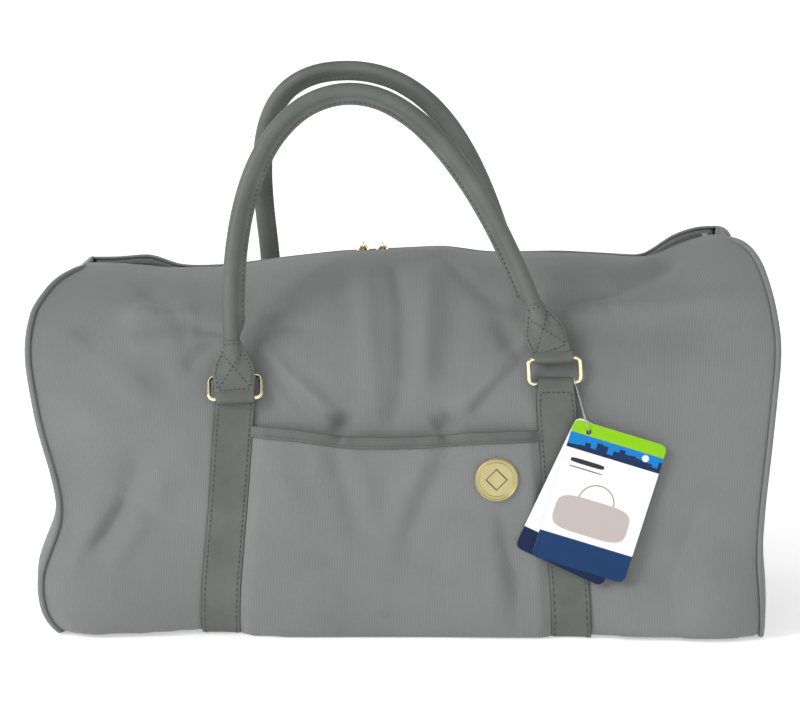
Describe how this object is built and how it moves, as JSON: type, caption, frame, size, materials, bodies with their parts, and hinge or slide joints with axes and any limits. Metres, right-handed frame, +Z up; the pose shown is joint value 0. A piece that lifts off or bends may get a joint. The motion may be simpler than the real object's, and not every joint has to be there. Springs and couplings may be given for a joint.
{
  "type": "duffel bag",
  "caption": "Soft weekender duffel bag with an arched canvas body, two rolled handles on rings, wrap-round straps, a front slip pocket, a zipped ridge and a hang tag.",
  "frame": {"origin": "on the floor under the middle of the bag", "axes": "+X along the bag's length to the viewer's right, -Y out of the front with the pocket, +Z up"},
  "size_m": [0.5716, 0.2996, 0.441],
  "materials": {
    "canvas": "matte ribbed woven canvas",
    "leather": "satin smooth grain",
    "lining": "plain woven lining",
    "board": "matte board",
    "gold": "pale polished gold plate",
    "zip_tape": "woven tape",
    "zip_teeth": "moulded nylon coil",
    "cotton": "cotton cord",
    "card": "printed satin card",
    "clear_loop": "clear nylon"
  },
  "bodies": {
    "bag": {"front_panel": "canvas", "back_panel": "canvas", "base_panel": "canvas", "end_panel_left": "canvas", "end_panel_right": "canvas", "piping_left": "canvas", "piping_right": "canvas", "lining": "lining", "inner_pocket": "lining", "base_board": "board", "front_pocket": "canvas", "pocket_trim": "leather", "badge": "gold", "badge_washer": "gold", "strap_left": "leather", "strap_right": "leather", "zip_tape_front": "zip_tape", "zip_tape_back": "zip_tape", "zip_teeth_front": "zip_teeth", "zip_teeth_back": "zip_teeth", "zip_stops": "gold", "ring_front_left": "gold", "end_tab_left": "leather", "end_tab_right": "leather", "feet": "gold", "foot_washers": "gold"},
    "front_handle": {"ring_front_right": "gold", "handle_front": "leather", "handle_front_core": "cotton", "tab_front_left": "leather", "tab_front_right": "leather"},
    "back_rings": {"ring_back_left": "gold", "ring_back_right": "gold"},
    "back_handle": {"handle_back": "leather", "handle_back_core": "cotton", "tab_back_left": "leather", "tab_back_right": "leather"},
    "zip_slider_left": {"slider_left": "gold"},
    "zip_slider_right": {"slider_right": "gold"},
    "zip_pull_left": {"pull_left": "gold"},
    "zip_pull_right": {"pull_right": "gold"},
    "end_ring_left": {"dring_left": "gold"},
    "end_ring_right": {"dring_right": "gold"},
    "hang_tag": {"tag_card_front": "card", "tag_card_back": "card", "tag_loop": "clear_loop"}
  },
  "joints": [
    {"name": "front_handle_swing", "type": "hinge", "parent": "bag", "child": "front_handle", "pos_m": [0, -0.14253, 0.18783], "axis": [0.9984, 0.0354, 0.044], "range_deg": [0, 120]},
    {"name": "back_rings_swing", "type": "hinge", "parent": "bag", "child": "back_rings", "pos_m": [0, 0.13832, 0.19307], "axis": [-1, 0, 0], "range_deg": [0, 110]},
    {"name": "back_handle_swing", "type": "hinge", "parent": "back_rings", "child": "back_handle", "pos_m": [0, 0.13545, 0.21114], "axis": [-1, 0, 0], "range_deg": [-15, 50]},
    {"name": "zip_left_slide", "type": "slide", "parent": "bag", "child": "zip_slider_left", "axis": [1, 0, 0], "range_m": [-0.229, 0]},
    {"name": "zip_right_slide", "type": "slide", "parent": "bag", "child": "zip_slider_right", "axis": [1, 0, 0], "range_m": [0, 0.266]},
    {"name": "pull_left_flip", "type": "hinge", "parent": "zip_slider_left", "child": "zip_pull_left", "pos_m": [-0.0263, 0, 0.2886], "axis": [1, 0, 0], "range_deg": [0, 195]},
    {"name": "pull_right_flip", "type": "hinge", "parent": "zip_slider_right", "child": "zip_pull_right", "pos_m": [-0.0107, 0, 0.2886], "axis": [1, 0, 0], "range_deg": [0, 195]},
    {"name": "left_dring_swing", "type": "hinge", "parent": "bag", "child": "end_ring_left", "pos_m": [-0.28244, 0, 0.20699], "axis": [0, 1, 0], "range_deg": [0, 110]},
    {"name": "right_dring_swing", "type": "hinge", "parent": "bag", "child": "end_ring_right", "pos_m": [0.28244, 0, 0.20699], "axis": [0, -1, 0], "range_deg": [0, 110]},
    {"name": "tag_swing", "type": "hinge", "parent": "bag", "child": "hang_tag", "pos_m": [0.1334, -0.13781, 0.1937], "axis": [-1, 0, 0], "range_deg": [0, 15]}
  ]
}
